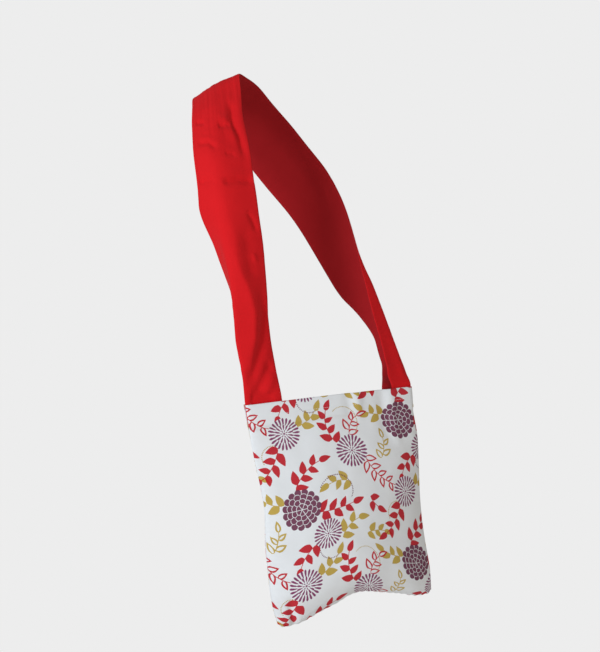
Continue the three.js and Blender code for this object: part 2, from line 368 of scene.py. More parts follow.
# Inks and cloths as light values
RED_INK = (0.53, 0.006, 0.016)
PLUM_INK = (0.168, 0.039, 0.078)
MAUVE_INK = (0.225, 0.033, 0.110)
MUSTARD_INK = (0.52, 0.345, 0.056)
WHITE_COTTON = ((0.77, 0.758, 0.735), (0.83, 0.818, 0.795))
WHITE_THREAD = ((0.70, 0.71, 0.70), (0.84, 0.85, 0.84))
RED_THREAD = ((0.50, 0.006, 0.008), (0.70, 0.016, 0.020))

# Red cotton: darker and lighter dye, raised threads and faded edges
RED_DYE = ((0.60, 0.007, 0.0095), (0.71, 0.0105, 0.013))
RED_RAISED = (0.74, 0.016, 0.018)
RED_FADED = (0.70, 0.045, 0.048)
RAISED_SHARE = 0.12
FADED_SHARE = 0.1
FADED_WIDTH = 0.004

# Strength of the print on the outer and the inner faces, and the share of the red cotton's red kept on
# them: 1 on the outer face, less on the inner face as painted shade
OUTSIDE_PRINT = 1.0
INSIDE_PRINT = 0.4
OUTSIDE_PAINTED_SHADE = 1.0
INSIDE_PAINTED_SHADE = 0.56

# Wear of the print, drift of its ragged edges, slow change of the cloth's tone, print units in a metre
INK_START = 0.92
INK_SPREAD = 0.10
INK_DRIFT = 0.0011
TONE_START = 0.95
TONE_SPREAD = 0.10
MILLIMETRES = 1000.0

# Noise of the finishes
Grain = namedtuple("Grain", "scale detail")
WEAVE_GRAIN = Grain(900.0, 2.0)
CREASE_GRAIN = Grain(75.0, 4.0)
WHITE_TONE = Grain(22.0, 3.0)
WHITE_FIBRE = Grain(1600.0, 2.0)
INK_BLEED = Grain(620.0, 2.0)
RED_TONE = Grain(16.0, 4.0)
RED_FIBRE = Grain(1400.0, 2.0)
THREAD_FIBRE = Grain(2600.0, 2.0)

# Finishes: width of a thread of the weave, height of the small creases, sheen, least roughness
Cloth = namedtuple("Cloth", "thread crinkle sheen rough")
PRINTED_CLOTH = Cloth(0.00045, 1.6, 0.05, 0.80)
RED_CLOTH = Cloth(0.0005, 2.6, 0.03, 0.82)
CLOTH_ROUGH_SPREAD = 0.12
WEAVE_WOBBLE = 1.1
THREAD_SHEEN = 0.05
THREAD_ROUGH = 0.55
THREAD_ROUGH_SPREAD = 0.2
SHEEN_ROUGHNESS = 0.45
SPECULAR = 0.12
RELIEF_STRENGTH = 0.5
RELIEF_DEPTH = 0.0002

# Places of the factor, the two colours and the result among the sockets of a colour mix
MIX_FACTOR = 0
MIX_COLOURS = (6, 7)
MIX_RESULT = 2

# Studio: a floor that fades into the background, lights, and the photograph's point of view
STUDIO_GREY = (0.847, 0.847, 0.847, 1)
SKY_LIGHT = 0.32
FLOOR_PAINT = (0.86, 0.86, 0.86, 1)
FLOOR_PLACE = (0.1, -0.1, -1.42)
FLOOR_RADIUS = 14.0
FLOOR_SEGMENTS = 96
FLOOR_LIGHT = 0.62
FLOOR_FADE_START = 0.72
FLOOR_FADE_PER_METRE = 0.25
LIGHT_AIM = Vector((0.1, -0.12, -0.45))
LIGHTS = table("name place size power colour", (
    ("key", (-2.75, -1.55, 0.25), 1.3, 88.0, (0.783, 0.878, 1.0)),
    ("fill", (1.2, -2.8, -0.3), 2.2, 12.0, (1.0, 0.985, 0.965)),
    ("back", (0.9, 3.0, 0.4), 2.2, 22.0, (1.0, 1.0, 1.0)),
))
CAMERA_PLACE = (-0.8643, -2.2759, -0.1029)
CAMERA_TILT = 83.0
CAMERA_TURN = -24.0
CAMERA_LENS = 79.84
CAMERA_SENSOR = 36.0


def smooth(keys, values, at):
    """A smooth value between those given, which never passes beyond them."""
    last = len(keys) - 1

    def step(k):
        return (values[k + 1] - values[k]) / (keys[k + 1] - keys[k])

    def slope(k):
        if k in (0, last):
            return step(min(k, last - 1))
        before = step(k - 1)
        after = step(k)
        return 2 * before * after / (before + after) if before * after > 0 else 0.0

    i = 0
    while i < last - 1 and keys[i + 1] < at:
        i += 1
    span = keys[i + 1] - keys[i]
    t = min(max((at - keys[i]) / span, 0.0), 1.0)
    ease = values[i] + (values[i + 1] - values[i]) * t * t * (3 - 2 * t)
    rise = slope(i) * span * t * (1 - t) * (1 - t)
    fall = slope(i + 1) * span * t * t * (1 - t)
    return ease + rise - fall


def column(rows, name, at):
    """A column of a table, read smoothly at a place in the table's first column."""
    return smooth([row[0] for row in rows], [getattr(row, name) for row in rows], at)


def soft_step(start, end, at):
    """0 before the start, 1 after the end, and an even rise between them."""
    t = min(max((at - start) / (end - start), 0.0), 1.0)
    return t * t * (3 - 2 * t)


def lengths_along(line):
    """Distance from a line's start to each of its points."""
    total = [0.0]
    for k in range(1, len(line)):
        total.append(total[-1] + (line[k] - line[k - 1]).length)
    return total


def grid_normals(grid):
    """Unit normals of a grid of points, right-handed for columns to the right and rows downwards."""
    rows, columns = len(grid), len(grid[0])
    normals = []
    for i in range(rows):
        line = []
        for j in range(columns):
            down = grid[min(i + 1, rows - 1)][j] - grid[max(i - 1, 0)][j]
            right = grid[i][min(j + 1, columns - 1)] - grid[i][max(j - 1, 0)]
            line.append(down.cross(right).normalized())
        normals.append(line)
    return normals


def raised(grid, rise):
    """The grid moved along its normals by rise(i, j)."""
    normals = grid_normals(grid)
    return [
        [point + normals[i][j] * rise(i, j) for j, point in enumerate(line)]
        for i, line in enumerate(grid)
    ]


def finished_piece(name, bm):
    """An object at the origin with the shape that a bmesh holds."""
    mesh = bpy.data.meshes.new(name)
    bm.to_mesh(mesh)
    bm.free()
    piece = bpy.data.objects.new(name, mesh)
    bpy.context.scene.collection.objects.link(piece)
    return piece


def tapered(edge, shares):
    """Share of the wall's thickness at some grid steps from the edge."""
    return shares[edge] if edge < len(shares) else 1.0


def cloth_piece(name, grid, cut, weight, wall, offset, turned):
    """A piece of cloth laid out flat as a grid, moved to its worn place and given its thickness."""
    rows, columns = len(grid) - 1, len(grid[0]) - 1

    def grid_place(vert):
        return round((0.5 - vert.co.y) * rows), round((vert.co.x + 0.5) * columns)

    bm = bmesh.new()
    bmesh.ops.create_grid(bm, x_segments=columns, y_segments=rows, size=0.5)
    uv = bm.loops.layers.uv.new(CUT_MAP)
    group = bm.verts.layers.deform.new()
    for face in bm.faces:
        face.smooth = True
        for loop in face.loops:
            loop[uv].uv = cut(*grid_place(loop.vert))
    for vert in bm.verts:
        i, j = grid_place(vert)
        vert[group][0] = weight(i, j)
        vert.co = grid[i][j]
    if turned:
        bmesh.ops.reverse_faces(bm, faces=bm.faces[:])
    piece = finished_piece(name, bm)
    piece.vertex_groups.new(name="wall")
    thickness = piece.modifiers.new("wall", "SOLIDIFY")
    thickness.thickness = wall
    thickness.offset = offset
    thickness.use_rim = True
    thickness.material_offset = 1
    thickness.vertex_group = "wall"
    thickness.thickness_vertex_group = 0.0
    return piece


def panel_row(share):
    """Share of the way down and how far the base has turned under, at a share of the grid."""
    if share < BASE_SHARE:
        return BASE_START * share / BASE_SHARE, 1.0
    angle = math.pi / 2 * (share - BASE_SHARE) / (1 - BASE_SHARE)
    return BASE_START + (1 - BASE_START) * math.sin(angle), max(math.cos(angle), 0.0)


def front_fold_rise(across, down):
    """Height of the soft folds at a place of the front."""
    total = 0.0
    for fold in FRONT_FOLDS:
        aside = (across - fold.across) / fold.half
        middle = (fold.top + fold.foot) / 2
        reach = (fold.foot - fold.top) / 2
        along = max(1 - ((down - middle) / reach) ** 2, 0.0)
        total += fold.height * math.exp(-aside * aside) * along
    return total


def panel_point(side, across, down, turn):
    """A point of a panel's inner face."""
    left = column(SIDES, "left", down)
    right = column(SIDES, "right", down)
    sag = FRONT_SAG if side == FRONT else BACK_SAG
    level = MOUTH_LEFT_Z + (MOUTH_RIGHT_Z - MOUTH_LEFT_Z) * across
    top = level - sag * math.sin(math.pi * across)
    foot = column(BOTTOM, "height", across)
    depth = column(DEPTHS, "front" if side == FRONT else "back", down)
    pillow = max(4 * across * (1 - across), 0.0) ** PILLOW_POWER
    off = column(DEPTHS, "seam", down) + depth * pillow * turn
    if side == FRONT:
        off += front_fold_rise(across, down) * min(pillow * FOLD_REACH, 1.0)
    y = POUCH_Y + side * max(off, SEAM_GAP / 2)
    return Vector((left + (right - left) * across, y, top + (foot - top) * down))


def panel_grid(side):
    """The points of a panel's inner face, row by row from the mouth down."""
    columns, rows = PANEL_STEPS
    grid = []
    for i in range(rows + 1):
        down, turn = panel_row(i / rows)
        grid.append([panel_point(side, j / columns, down, turn) for j in range(columns + 1)])
    return grid


def soften_panel(grid, side):
    """Adds the slow waves of limp cloth and the puckers of its seams."""
    columns = PANEL_STEPS[0]
    middle = lengths_along([line[columns // 2] for line in grid])

    def waves(across, from_mouth):
        spot = Vector((across * PANEL_CUT[0], from_mouth, WAVE_SEED + side))
        return sum(wave.height * noise.noise(spot * wave.scale) for wave in PANEL_WAVES)

    def pucker(across, from_mouth):
        down_scale, across_scale = PUCKER_SCALES
        spot = Vector((from_mouth * down_scale, across * across_scale, side + PUCKER_SEED))
        return math.sin(from_mouth * 2 * math.pi / PUCKER_LENGTH + UNEVENNESS * noise.noise(spot))

    def ruck(across):
        spot = Vector((across * RUCK_SCALE, RUCK_SEEDS[0], side + RUCK_SEEDS[1]))
        return math.sin(across * 2 * math.pi / RUCK_SHARE + UNEVENNESS * noise.noise(spot))

    def rise(i, j):
        across = j / columns
        from_mouth = middle[i]
        from_foot = middle[-1] - from_mouth
        from_side = min(across, 1 - across) * PANEL_CUT[0]
        from_seam = min(from_side, from_foot)
        free = soft_step(0, WAVE_MARGIN, from_seam) * soft_step(0, WAVE_MOUTH_MARGIN, from_mouth)
        puckers = PUCKER_HEIGHT * math.exp(-from_side / PUCKER_REACH) * pucker(across, from_mouth)
        puckers *= soft_step(0, PUCKER_MOUTH_MARGIN, from_mouth)
        rucks = RUCK_HEIGHT * math.exp(-from_foot / RUCK_REACH) * ruck(across)
        held = soft_step(0, SEAM_HOLD, from_seam)
        return side * (free * waves(across, from_mouth) + held * (puckers + rucks))

    return raised(grid, rise)


def pouch_panel(name, node, side):
    """The front or the back of the pouch, thicker at the hem and thin at its seams."""
    columns, rows = PANEL_STEPS
    grid = soften_panel(panel_grid(side), side)
    middle = lengths_along([line[columns // 2] for line in grid])
    thick = PANEL_WALL + HEM_EXTRA
    shift = 0.0 if side == FRONT else BACK_CUT_SHIFT

    def cut(i, j):
        across = j / columns if side == FRONT else 1 - j / columns
        return across * PANEL_CUT[0] + shift, shift - middle[i] / middle[-1] * PANEL_CUT[1]

    def weight(i, j):
        below_hem = soft_step(HEM_DEPTH * HEM_FADE[0], HEM_DEPTH * HEM_FADE[1], middle[i])
        wall = PANEL_WALL + HEM_EXTRA * (1 - below_hem)
        return wall * tapered(min(j, columns - j, rows - i), SEAM_TAPER) / thick

    piece = cloth_piece(name, grid, cut, weight, wall=thick, offset=1.0, turned=side == BACK)
    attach(piece, "root")
    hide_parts(node)
    return piece, grid


def strap_guide(keys, name, at):
    """The place of the strap's fold or of one of its edges at a distance along the fold."""
    begun = soft_step(EASE_FROM, EASE_FROM + EASE_BLEND, at)
    ended = soft_step(EASE_TO - EASE_BLEND, EASE_TO, at)
    ease = GUIDE_EASE * begun * (1 - ended)
    spots = (at - ease, at, at, at + ease)
    axes = zip(*(getattr(section, name) for section in STRAP))
    return Vector([sum(smooth(keys, values, spot) for spot in spots) / len(spots) for values in axes])


def strap_section(fold, to_front, to_back):
    """A section of the strap's middle face, from its back edge round the fold to its front edge."""
    legs = STRAP_STEPS[0] // 2
    turn = to_front.normalized() - to_back.normalized()
    spread = min(turn.length / 2, 1.0)
    turn.normalize()

    def leg(edge, way, u):
        start = min(FOLD_ROUND, edge.length) + max(edge.length - FOLD_ROUND, 0) * spread * spread
        ahead = turn * (way * start * u * (1 - u) * (1 - u))
        return fold + ahead + edge * (u * u * (3 - 2 * u) - u * u * (1 - u))

    back_leg = [leg(to_back, -1, k / legs) for k in range(legs, 0, -1)]
    front_leg = [leg(to_front, 1, k / legs) for k in range(legs + 1)]
    return back_leg + front_leg


def strap_grid():
    """The strap's middle face, and the height of its gathers at each section."""
    keys = lengths_along([Vector(section.fold) for section in STRAP])
    heights = [section.gathers for section in STRAP]
    rows = STRAP_STEPS[1]
    grid = []
    gathers = []
    for i in range(rows + 1):
        at = keys[-1] * i / rows
        fold = strap_guide(keys, "fold", at)
        to_front = strap_guide(keys, "front", at) - fold
        to_back = strap_guide(keys, "back", at) - fold
        grid.append(strap_section(fold, to_front, to_back))
        gathers.append(smooth(keys, heights, at))
    return grid, gathers


def off_line(spot, points):
    """The distance of a spot from a line of points, and the share along it of the nearest place."""
    best, share = math.inf, 0.0
    for k in range(len(points) - 1):
        start = Vector(points[k])
        way = Vector(points[k + 1]) - start
        t = min(max((spot - start).dot(way) / way.length_squared, 0.0), 1.0)
        gap = (spot - start - way * t).length
        if gap < best:
            best, share = gap, (k + t) / (len(points) - 1)
    return best, share


def fold_rise(along, across):
    """Height of the strap's folds at a place of its flat cut."""
    total = 0.0
    for fold in STRAP_FOLDS:
        places = [point[0] for point in fold.points]
        reach = FOLD_CUTOFF * fold.half
        if min(places) - reach < along < max(places) + reach:
            gap, share = off_line(Vector((along, across)), fold.points)
            fade = soft_step(0.0, FOLD_FADE, share) * soft_step(0.0, FOLD_FADE, 1 - share)
            total += fold.height * fade * math.exp(-((gap / fold.half) ** 2))
    return total


def ridge_rise(along, across):
    """Height of the long ridge: hollow down to its left foot, straight down to the strap's front edge."""
    if not STRAP_RIDGE[0].along < along < STRAP_RIDGE[-1].along:
        return 0.0
    foot = column(STRAP_RIDGE, "foot", along)
    crest = column(STRAP_RIDGE, "crest", along)
    height = column(STRAP_RIDGE, "height", along)
    away = math.hypot(across - crest, RIDGE_ROUND) - RIDGE_ROUND
    if across < crest:
        return height * max(1 - away / (crest - foot), 0.0) ** RIDGE_POWER
    return height * max(1 - away / (STRAP_CUT[0] - crest), 0.0)


def shoulder_strap():
    """The strap with its folds, ridge, creases and gathers. Its grid's normals point inwards."""
    columns = STRAP_STEPS[0]
    plain, gathers = strap_grid()
    lengths = lengths_along([line[columns // 2] for line in plain])
    widths = [lengths_along(line) for line in plain]

    def cut(i, j):
        return widths[i][j] / widths[i][-1] * STRAP_CUT[0], lengths[i]

    def rise(i, j):
        across, along = cut(i, j)

        def uneven(relief):
            return noise.noise(Vector((across * relief.across, along * relief.along, relief.seed)))

        free = soft_step(*SEWN_REACH, along) * soft_step(*SEWN_REACH, lengths[-1] - along)
        crumple = CRUMPLE_HEIGHT * uneven(CRUMPLES) * uneven(CRUMPLED_SPOTS)
        creases = free * (crumple + SLOW_WAVE_HEIGHT * uneven(SLOW_WAVES))
        ruffle = uneven(RUFFLES) + FINE_RUFFLE_SHARE * uneven(FINE_RUFFLES)
        folds = fold_rise(along, across) + ridge_rise(along, across)
        return -(folds + creases + RUFFLE_SHARE * gathers[i] * ruffle)

    def weight(i, j):
        return tapered(min(j, columns - j), STRAP_TAPER)

    grid = raised(plain, rise)
    for end, beside, reach in ((0, 1, LEFT_TUCK), (-1, -2, RIGHT_TUCK)):
        pairs = zip(grid[end], grid[beside])
        grid[end] = [last + (last - before).normalized() * reach for last, before in pairs]
    piece = cloth_piece("shoulder_strap", grid, cut, weight, wall=STRAP_WALL, offset=0.0, turned=True)
    # The rim takes the inner face's material, so the strap's edges carry the same painted shade and show
    # less light
    piece.modifiers["wall"].material_offset_rim = 1
    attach(piece, "root")
    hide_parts("strap")
    return piece, grid


def at_distance(points, normals, distance):
    """The point and the normal at a distance along a line of points."""
    gone = 0.0
    for k in range(1, len(points)):
        step = (points[k] - points[k - 1]).length
        if gone + step >= distance:
            t = (distance - gone) / step
            return points[k - 1].lerp(points[k], t), normals[k - 1].lerp(normals[k], t)
        gone += step
    return points[-1], normals[-1]


def even_places(points, normals, gap):
    """Points, headings and normals at even gaps along a line of points."""
    due = gap / 2
    gone = 0.0
    for k in range(1, len(points)):
        way = points[k] - points[k - 1]
        while gone + way.length >= due:
            t = (due - gone) / way.length
            yield points[k - 1] + way * t, way.normalized(), normals[k - 1].lerp(normals[k], t)
            due += gap
        gone += way.length


def sewn_row(line, lift):
    """A row of stitches along a line of points and normals, half sunk in the cloth's face."""
    bm = bmesh.new()
    points, normals = zip(*line)
    size = Matrix.Diagonal((STITCH_LENGTH / 2, STITCH_WIDTH / 2, STITCH_WIDTH / 2, 1))
    for spot, heading, normal in even_places(points, normals, STITCH_GAP):
        across = normal.cross(heading).normalized()
        turn = Matrix((heading, across, heading.cross(across))).transposed().to_4x4()
        place = Matrix.Translation(spot + normal.normalized() * lift) @ turn @ size
        bmesh.ops.create_icosphere(bm, subdivisions=1, radius=1.0, matrix=place)
    mesh = bpy.data.meshes.new("sewn_row")
    bm.to_mesh(mesh)
    bm.free()
    return mesh


def stitches(name, lines, lifts):
    """Rows of stitches on both faces of a piece of cloth. Each row is made alone, which is quicker."""
    bm = bmesh.new()
    for line in lines:
        for lift in lifts:
            row = sewn_row(line, lift)
            bm.from_mesh(row)
            bpy.data.meshes.remove(row)
    for face in bm.faces:
        face.smooth = True
    piece = finished_piece(name, bm)
    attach(piece, "root")
    return piece


def hem_stitches(name, grid, side):
    """One row round the mouth hem of a panel."""
    columns = zip(*grid)
    column_normals = zip(*grid_normals(grid))
    line = [at_distance(points, ups, HEM_ROW) for points, ups in zip(columns, column_normals)]
    thick = PANEL_WALL + HEM_EXTRA
    return stitches(name, [line], (-side * thick, 0.0))


def strap_stitches(name, grid):
    """A row along each edge of the strap."""
    sections = list(zip(grid, grid_normals(grid)))
    back_row = [at_distance(points, ups, STRAP_ROW) for points, ups in sections]
    front_row = [at_distance(points[::-1], ups[::-1], STRAP_ROW) for points, ups in sections]
    half = STRAP_WALL / 2
    return stitches(name, [back_row, front_row], (half, -half))


class Number:
    """A number that shader nodes work out, used in sums like a plain number."""

    def __init__(self, socket):
        self.socket = socket

    def __add__(self, other):
        return maths("ADD", self, other)

    def __sub__(self, other):
        return maths("SUBTRACT", self, other)

    def __rsub__(self, other):
        return maths("SUBTRACT", other, self)

    def __mul__(self, other):
        return maths("MULTIPLY", self, other)

    def __truediv__(self, other):
        return maths("DIVIDE", self, other)

    def __mod__(self, other):
        return maths("FLOORED_MODULO", self, other)

    def __pow__(self, other):
        return maths("POWER", self, other)

    def __abs__(self):
        return maths("ABSOLUTE", self)

    def between(self, low, high):
        """1 between two limits and 0 outside them."""
        return maths("GREATER_THAN", self, low) * maths("LESS_THAN", self, high)


def add_node(tree, kind, **settings):
    """A new node with some of its settings changed."""
    made = tree.nodes.new(kind)
    for name, value in settings.items():
        setattr(made, name, value)
    return made


def connect(socket, value):
    """Links what nodes work out to a socket, or sets a plain value on it."""
    if isinstance(value, Number):
        value = value.socket
    if isinstance(value, bpy.types.NodeSocket):
        socket.id_data.links.new(value, socket)
    else:
        socket.default_value = value


def maths(operation, *values, clamp=False):
    """The number that one node works out from these, of which at least one comes from a node."""
    tree = next(value.socket.id_data for value in values if isinstance(value, Number))
    made = add_node(tree, "ShaderNodeMath", operation=operation, use_clamp=clamp)
    for socket, value in zip(made.inputs, values):
        connect(socket, value)
    return Number(made.outputs[0])


def vector_maths(operation, first, second):
    """The vector that one node works out from a vector and a second one, or a number to scale it by."""
    made = add_node(first.id_data, "ShaderNodeVectorMath", operation=operation)
    connect(made.inputs[0], first)
    connect(made.inputs["Scale" if operation == "SCALE" else 1], second)
    return made.outputs[0]


def blend(share, under, over):
    """A colour between two others."""
    made = add_node(share.socket.id_data, "ShaderNodeMix", data_type="RGBA")
    connect(made.inputs[MIX_FACTOR], share)
    for place, colour in zip(MIX_COLOURS, (under, over)):
        connect(made.inputs[place], (*colour, 1.0) if isinstance(colour, tuple) else colour)
    return made.outputs[MIX_RESULT]


def flat_axes(place):
    """The first two parts of a place."""
    made = add_node(place.id_data, "ShaderNodeSeparateXYZ")
    connect(made.inputs[0], place)
    return Number(made.outputs[0]), Number(made.outputs[1])


def distance(x, y):
    """Distance from the middle."""
    return maths("SQRT", maths("MULTIPLY_ADD", x, x, y * y))


def inked(depth):
    """1 where the depth inside a shape is above 0, with a soft edge."""
    return maths("MULTIPLY_ADD", depth, 1 / SOFT_EDGE, 0.5, clamp=True)


def ink_group(name, columns):
    """A node group for one printed motif, the place in it, and the motif's own numbers."""
    group = bpy.data.node_groups.new(name, "ShaderNodeTree")
    group.interface.new_socket("place", in_out="INPUT", socket_type="NodeSocketVector")
    for number in columns.split():
        group.interface.new_socket(number, in_out="INPUT", socket_type="NodeSocketFloat")
    for output in ("ink", "ground"):
        group.interface.new_socket(output, in_out="OUTPUT", socket_type="NodeSocketFloat")
    given = add_node(group, "NodeGroupInput").outputs
    motif = namedtuple("Motif", columns)(*(Number(given[number]) for number in columns.split()))
    return group, given["place"], motif


def give_ink(group, ink, ground=0.0):
    """Ends a motif's node group with its ink and the bare ground that it covers first."""
    out = add_node(group, "NodeGroupOutput")
    connect(out.inputs["ink"], ink)
    connect(out.inputs["ground"], ground)
    return group


def repeated_place(place, motif):
    """The place seen from a motif, over the half-drop repeat."""
    x, y = flat_axes(place)
    x = x - motif.across
    y = y - motif.up
    repeat = maths("ROUND", x / REPEAT_WIDTH)
    x = maths("MULTIPLY_ADD", repeat, -REPEAT_WIDTH, x)
    y = maths("MULTIPLY_ADD", repeat, -REPEAT_HEIGHT / 2, y)
    y = maths("WRAP", y, REPEAT_HEIGHT / 2, -REPEAT_HEIGHT / 2)
    angle = maths("RADIANS", motif.turn)
    cosine = maths("COSINE", angle)
    sine = maths("SINE", angle)
    return x * cosine + y * sine, y * cosine - x * sine


def along_stem(x, y, motif, curl=0.0):
    """Distance along a bent stem and off it. A curl draws the bend in as it goes."""
    rise = motif.bend - y * motif.flip
    angle = maths("ARCTAN2", x, rise)
    drawn = motif.bend * maths("MULTIPLY_ADD", angle, -curl, 1.0)
    return angle * motif.bend, drawn - distance(x, rise)


def leaf_depth(ahead, off, size, wide):
    """How far inside a leaf a point is: the leaf starts at 0 and its tip is at its size."""
    share = maths("DIVIDE", ahead, size, clamp=True)
    half = maths("SQRT", share) * (1.0 - share) * size * wide
    return half - INK_INSET - abs(off)


def branch_group():
    """A bent stem with staggered pairs of leaves and one leaf at its tip."""
    group, place, motif = ink_group("leafy_branch", BRANCH)
    along, off = along_stem(*repeated_place(place, motif), motif)
    away = abs(off)
    gap = motif.leaf * LEAF_GAP
    length = maths("FLOOR", motif.length / gap) * gap
    shifted = along + maths("SIGN", off) * (gap * LEAF_STAGGER)
    near = shifted % gap
    size = motif.leaf * maths("MULTIPLY_ADD", along / length, -LEAF_SHRINK, 1.0)
    ahead = near * LEAF_AHEAD + away * LEAF_ASIDE
    beside = away * LEAF_AHEAD - near * LEAF_ASIDE
    depth = leaf_depth(ahead - LEAF_START, beside + LEAF_SHIFT, size, LEAF_WIDTH)
    depth = shifted.between(0.0, length) * (depth + OFF_BRANCH) - OFF_BRANCH
    tip = leaf_depth(along - length, off, motif.leaf * TIP_SIZE, TIP_WIDTH)
    depth = maths("MAXIMUM", depth, tip)
    heart = inked(depth - HOLLOW_LINE) * motif.hollow
    leaves = inked(depth) * (1.0 - heart)
    stem = inked(STEM_HALF - away) * along.between(0.0, length)
    return give_ink(group, maths("MAXIMUM", leaves, stem))


def polar(x, y):
    """Distance from the middle of a flower, and the angle round it."""
    return distance(x, y), maths("ARCTAN2", y, x) + math.pi


def petal_ring(radius, angle, size, ring):
    """A ring of separate round-ended petals between two shares of the flower's size."""
    half = math.pi / ring.petals
    span = ring.end - ring.start
    off = half - maths("PINGPONG", angle, half)
    share = maths("MULTIPLY_ADD", radius / size, 1 / span, -ring.start / span, clamp=True)
    round_end = maths("SQRT", 1.0 - share ** PETAL_END_POWER)
    swell = share ** PETAL_SWELL_POWER * round_end
    half_width = maths("MULTIPLY_ADD", swell * size, ring.width, -INK_INSET)
    return inked(half_width - off * radius)


def daisy_group():
    """A flat flower head: three rings of narrow petals round a small heart."""
    group, place, motif = ink_group("daisy", FLOWER)
    radius, angle = polar(*repeated_place(place, motif))
    size = motif.radius
    ink = inked(size * DAISY_HEART - radius)
    for ring in DAISY_RINGS:
        ink = maths("MAXIMUM", ink, petal_ring(radius, angle, size, ring))
    return give_ink(group, ink, inked(size * DAISY_GROUND - radius))


def rosette_frill(radius, angle, size, frill):
    """The petals of one scalloped frill, parted by bare lines, and all that the frill covers."""
    half = math.pi / frill.petals
    off = maths("PINGPONG", angle, half)
    bow = maths("SQRT", maths("SINE", off * (math.pi / 2 / half)))
    rim = maths("MULTIPLY_ADD", bow, FRILL_BOW * frill.size, (1 - FRILL_BOW) * frill.size) * size
    depth = rim - radius
    petals = inked(off * radius - PETAL_LINE) * inked(depth - FRILL_LINE)
    return petals, inked(depth)


def rosette_group():
    """A full flower of frills, each laid over the larger one before it."""
    group, place, motif = ink_group("rosette", FLOWER)
    radius, angle = polar(*repeated_place(place, motif))
    size = motif.radius
    frills = [rosette_frill(radius, angle, size, frill) for frill in ROSETTE_FRILLS]
    ink = frills[0][0]
    for petals, cover in frills[1:]:
        ink = maths("MAXIMUM", ink * (1.0 - cover), petals)
    return give_ink(group, ink, inked(size * ROSETTE_GROUND - radius))


def tendril_group():
    """A curling line of dots."""
    group, place, motif = ink_group("dotted_tendril", TENDRIL)
    along, off = along_stem(*repeated_place(place, motif), motif, TENDRIL_CURL)
    gap = motif.dot * DOT_GAP
    near = along % gap - gap * 0.5
    dots = inked(motif.dot - distance(near, off))
    return give_ink(group, dots * along.between(0.0, motif.length))


def motif_ink(place, group, rows):
    """The ink and the bare ground of every row of one motif's table."""
    ink, ground = 0.0, 0.0
    for row in rows:
        made = add_node(place.id_data, "ShaderNodeGroup", node_tree=group)
        connect(made.inputs["place"], place)
        for name, value in row._asdict().items():
            made.inputs[name].default_value = value
        ink = maths("MAXIMUM", Number(made.outputs["ink"]), ink)
        ground = maths("MAXIMUM", Number(made.outputs["ground"]), ground)
    return ink, ground


def new_material(name):
    """An empty material and its node tree."""
    material = bpy.data.materials.new(name)
    material.use_nodes = True
    material.node_tree.nodes.clear()
    return material, material.node_tree


def cut_place(tree):
    """The place on the flat cut of the cloth."""
    return add_node(tree, "ShaderNodeUVMap", uv_map=CUT_MAP).outputs[0]


def noise_sockets(place, grain):
    """What a noise node gives: a value and a colour."""
    made = add_node(place.id_data, "ShaderNodeTexNoise")
    connect(made.inputs["Vector"], place)
    made.inputs["Scale"].default_value = grain.scale
    made.inputs["Detail"].default_value = grain.detail
    return made.outputs


def grained(place, grain):
    """Noise between 0 and 1."""
    return Number(noise_sockets(place, grain)["Fac"])


def weave_height(place, cloth):
    """A plain weave of the cloth's threads, a little uneven."""
    x, y = flat_axes(place)
    wobble = maths("MULTIPLY_ADD", grained(place, WEAVE_GRAIN), 2 * WEAVE_WOBBLE, -WEAVE_WOBBLE)
    warp = maths("SINE", maths("MULTIPLY_ADD", x, math.pi / cloth.thread, wobble))
    weft = maths("SINE", maths("MULTIPLY_ADD", y, math.pi / cloth.thread, wobble))
    return maths("MULTIPLY_ADD", warp * weft, 0.5, 0.5)


def matt_surface(tree, colour, height, rough, sheen):
    """Ends a material: matt, with a soft sheen and a fine relief."""
    shader = add_node(tree, "ShaderNodeBsdfPrincipled")
    connect(shader.inputs["Base Color"], colour)
    connect(shader.inputs["Roughness"], rough)
    shader.inputs["Sheen Weight"].default_value = sheen
    shader.inputs["Sheen Roughness"].default_value = SHEEN_ROUGHNESS
    shader.inputs["Specular IOR Level"].default_value = SPECULAR
    relief = add_node(tree, "ShaderNodeBump")
    relief.inputs["Strength"].default_value = RELIEF_STRENGTH
    relief.inputs["Distance"].default_value = RELIEF_DEPTH
    connect(relief.inputs["Height"], height)
    connect(shader.inputs["Normal"], relief.outputs[0])
    out = add_node(tree, "ShaderNodeOutputMaterial")
    connect(out.inputs[0], shader.outputs[0])


def woven_surface(cloth, place, colour, weave, fibre):
    """Ends a cloth material with its weave and the small creases of used cotton."""
    height = maths("MULTIPLY_ADD", grained(place, CREASE_GRAIN), cloth.crinkle, weave)
    rough = maths("MULTIPLY_ADD", fibre, CLOTH_ROUGH_SPREAD, cloth.rough)
    matt_surface(place.id_data, colour, height, rough, cloth.sheen)


def ragged_place(place):
    """The place in millimetres, moved a little so that the ink bleeds into the weave."""
    bleed = noise_sockets(place, INK_BLEED)["Color"]
    drift = vector_maths("SCALE", vector_maths("SUBTRACT", bleed, (0.5, 0.5, 0.5)), INK_DRIFT)
    return vector_maths("SCALE", vector_maths("ADD", place, drift), MILLIMETRES)


